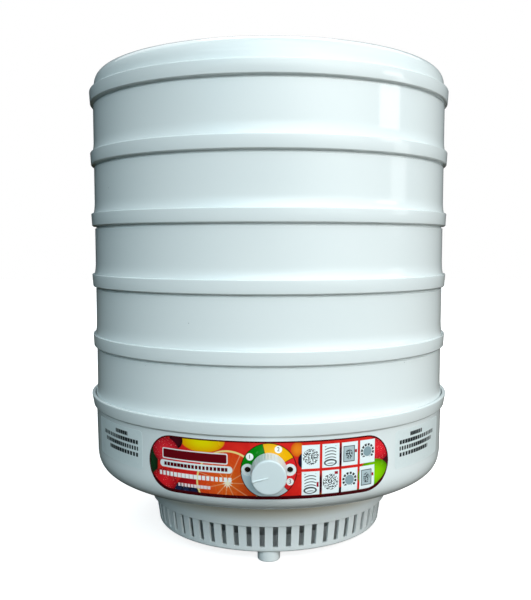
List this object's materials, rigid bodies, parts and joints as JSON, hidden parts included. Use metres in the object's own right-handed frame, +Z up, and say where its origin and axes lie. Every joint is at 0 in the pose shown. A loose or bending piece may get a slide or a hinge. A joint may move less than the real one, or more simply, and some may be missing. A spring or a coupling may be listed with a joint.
{
  "type": "food dehydrator",
  "caption": "Round stacking food dehydrator with sieve trays, a vented lid, a slotted air intake base and a front control knob.",
  "frame": {"origin": "middle of the footprint's box on the table, at the feet's lowest point; the tower's axis stands 9.7 mm behind it", "axes": "+Z up along the stack, -Y towards the front with the knob, +X to the right as seen from the front"},
  "size_m": [0.385, 0.4044, 0.497],
  "materials": {
    "white_plastic": "smooth moulded polystyrene with a soft gloss",
    "knob_plastic": "smooth moulded plastic with a soft gloss",
    "label_film": "glossy printed self-adhesive film with fruit in flat colours",
    "sticker_film": "satin white self-adhesive film, faint grey print",
    "zinc_steel": "zinc plated",
    "lamination_steel": "stacked electrical steel, lacquered",
    "winding_copper": "enamelled copper wire",
    "resistance_wire": "oxidised nickel-chrome wire",
    "mica_board": "pressed mica board",
    "dark_plastic": "fine matt grain",
    "fan_plastic": "fine matt grain",
    "lead_sleeve": "braided glass-fibre sleeve"
  },
  "bodies": {
    "base": {"base_housing": "white_plastic", "intake_cover": "white_plastic", "foot_front": "white_plastic", "foot_right": "white_plastic", "foot_rear": "white_plastic", "foot_left": "white_plastic", "deck_plate": "white_plastic", "outlet_grille": "white_plastic", "fan_shroud": "white_plastic", "front_label": "label_film", "info_sticker_left": "sticker_film", "info_sticker_right": "sticker_film", "cover_screw_front": "zinc_steel", "cover_screw_right": "zinc_steel", "cover_screw_rear": "zinc_steel", "cover_screw_left": "zinc_steel", "deck_screw_1": "zinc_steel", "deck_screw_2": "zinc_steel", "deck_screw_3": "zinc_steel", "deck_screw_4": "zinc_steel", "shroud_screw_1": "zinc_steel", "shroud_screw_2": "zinc_steel", "shroud_screw_3": "zinc_steel", "motor_strap": "zinc_steel", "strap_screw_left": "zinc_steel", "strap_screw_right": "zinc_steel", "motor_bracket_upper": "zinc_steel", "motor_bracket_lower": "zinc_steel", "motor_bolt_1": "zinc_steel", "motor_bolt_2": "zinc_steel", "regulator_screw_left": "zinc_steel", "regulator_screw_right": "zinc_steel", "motor_laminations": "lamination_steel", "motor_winding": "winding_copper", "heating_coil_outer": "resistance_wire", "heating_coil_inner": "resistance_wire", "heater_plate_wide": "mica_board", "heater_plate_deep": "mica_board", "regulator_body": "dark_plastic", "cord_gland": "dark_plastic", "terminal_block": "dark_plastic", "thermal_cutout": "dark_plastic", "lead_regulator": "lead_sleeve", "lead_heater": "lead_sleeve", "lead_motor": "lead_sleeve"},
    "fan": {"fan_impeller": "fan_plastic", "motor_shaft": "zinc_steel", "motor_rotor": "lamination_steel"},
    "knob": {"knob": "knob_plastic", "regulator_spindle": "dark_plastic"},
    "tray_1": {"tray_1": "white_plastic"},
    "tray_2": {"tray_2": "white_plastic"},
    "tray_3": {"tray_3": "white_plastic"},
    "tray_4": {"tray_4": "white_plastic"},
    "tray_5": {"tray_5": "white_plastic"},
    "lid": {"lid": "white_plastic"}
  },
  "joints": [
    {"name": "knob_turn", "type": "hinge", "parent": "base", "child": "knob", "pos_m": [0, -0.1997, 0.1132], "axis": [0, 1, 0], "range_deg": [0, 230]},
    {"name": "fan_spin", "type": "hinge", "parent": "base", "child": "fan", "pos_m": [0, 0.0097, 0.06], "axis": [0, 0, 1], "continuous": true},
    {"name": "tray_1_lift", "type": "slide", "parent": "base", "child": "tray_1", "axis": [0, 0, 1], "range_m": [0, 0.1]},
    {"name": "tray_2_lift", "type": "slide", "parent": "tray_1", "child": "tray_2", "axis": [0, 0, 1], "range_m": [0, 0.1]},
    {"name": "tray_3_lift", "type": "slide", "parent": "tray_2", "child": "tray_3", "axis": [0, 0, 1], "range_m": [0, 0.1]},
    {"name": "tray_4_lift", "type": "slide", "parent": "tray_3", "child": "tray_4", "axis": [0, 0, 1], "range_m": [0, 0.1]},
    {"name": "tray_5_lift", "type": "slide", "parent": "tray_4", "child": "tray_5", "axis": [0, 0, 1], "range_m": [0, 0.1]},
    {"name": "lid_lift", "type": "slide", "parent": "tray_5", "child": "lid", "axis": [0, 0, 1], "range_m": [0, 0.1]}
  ]
}
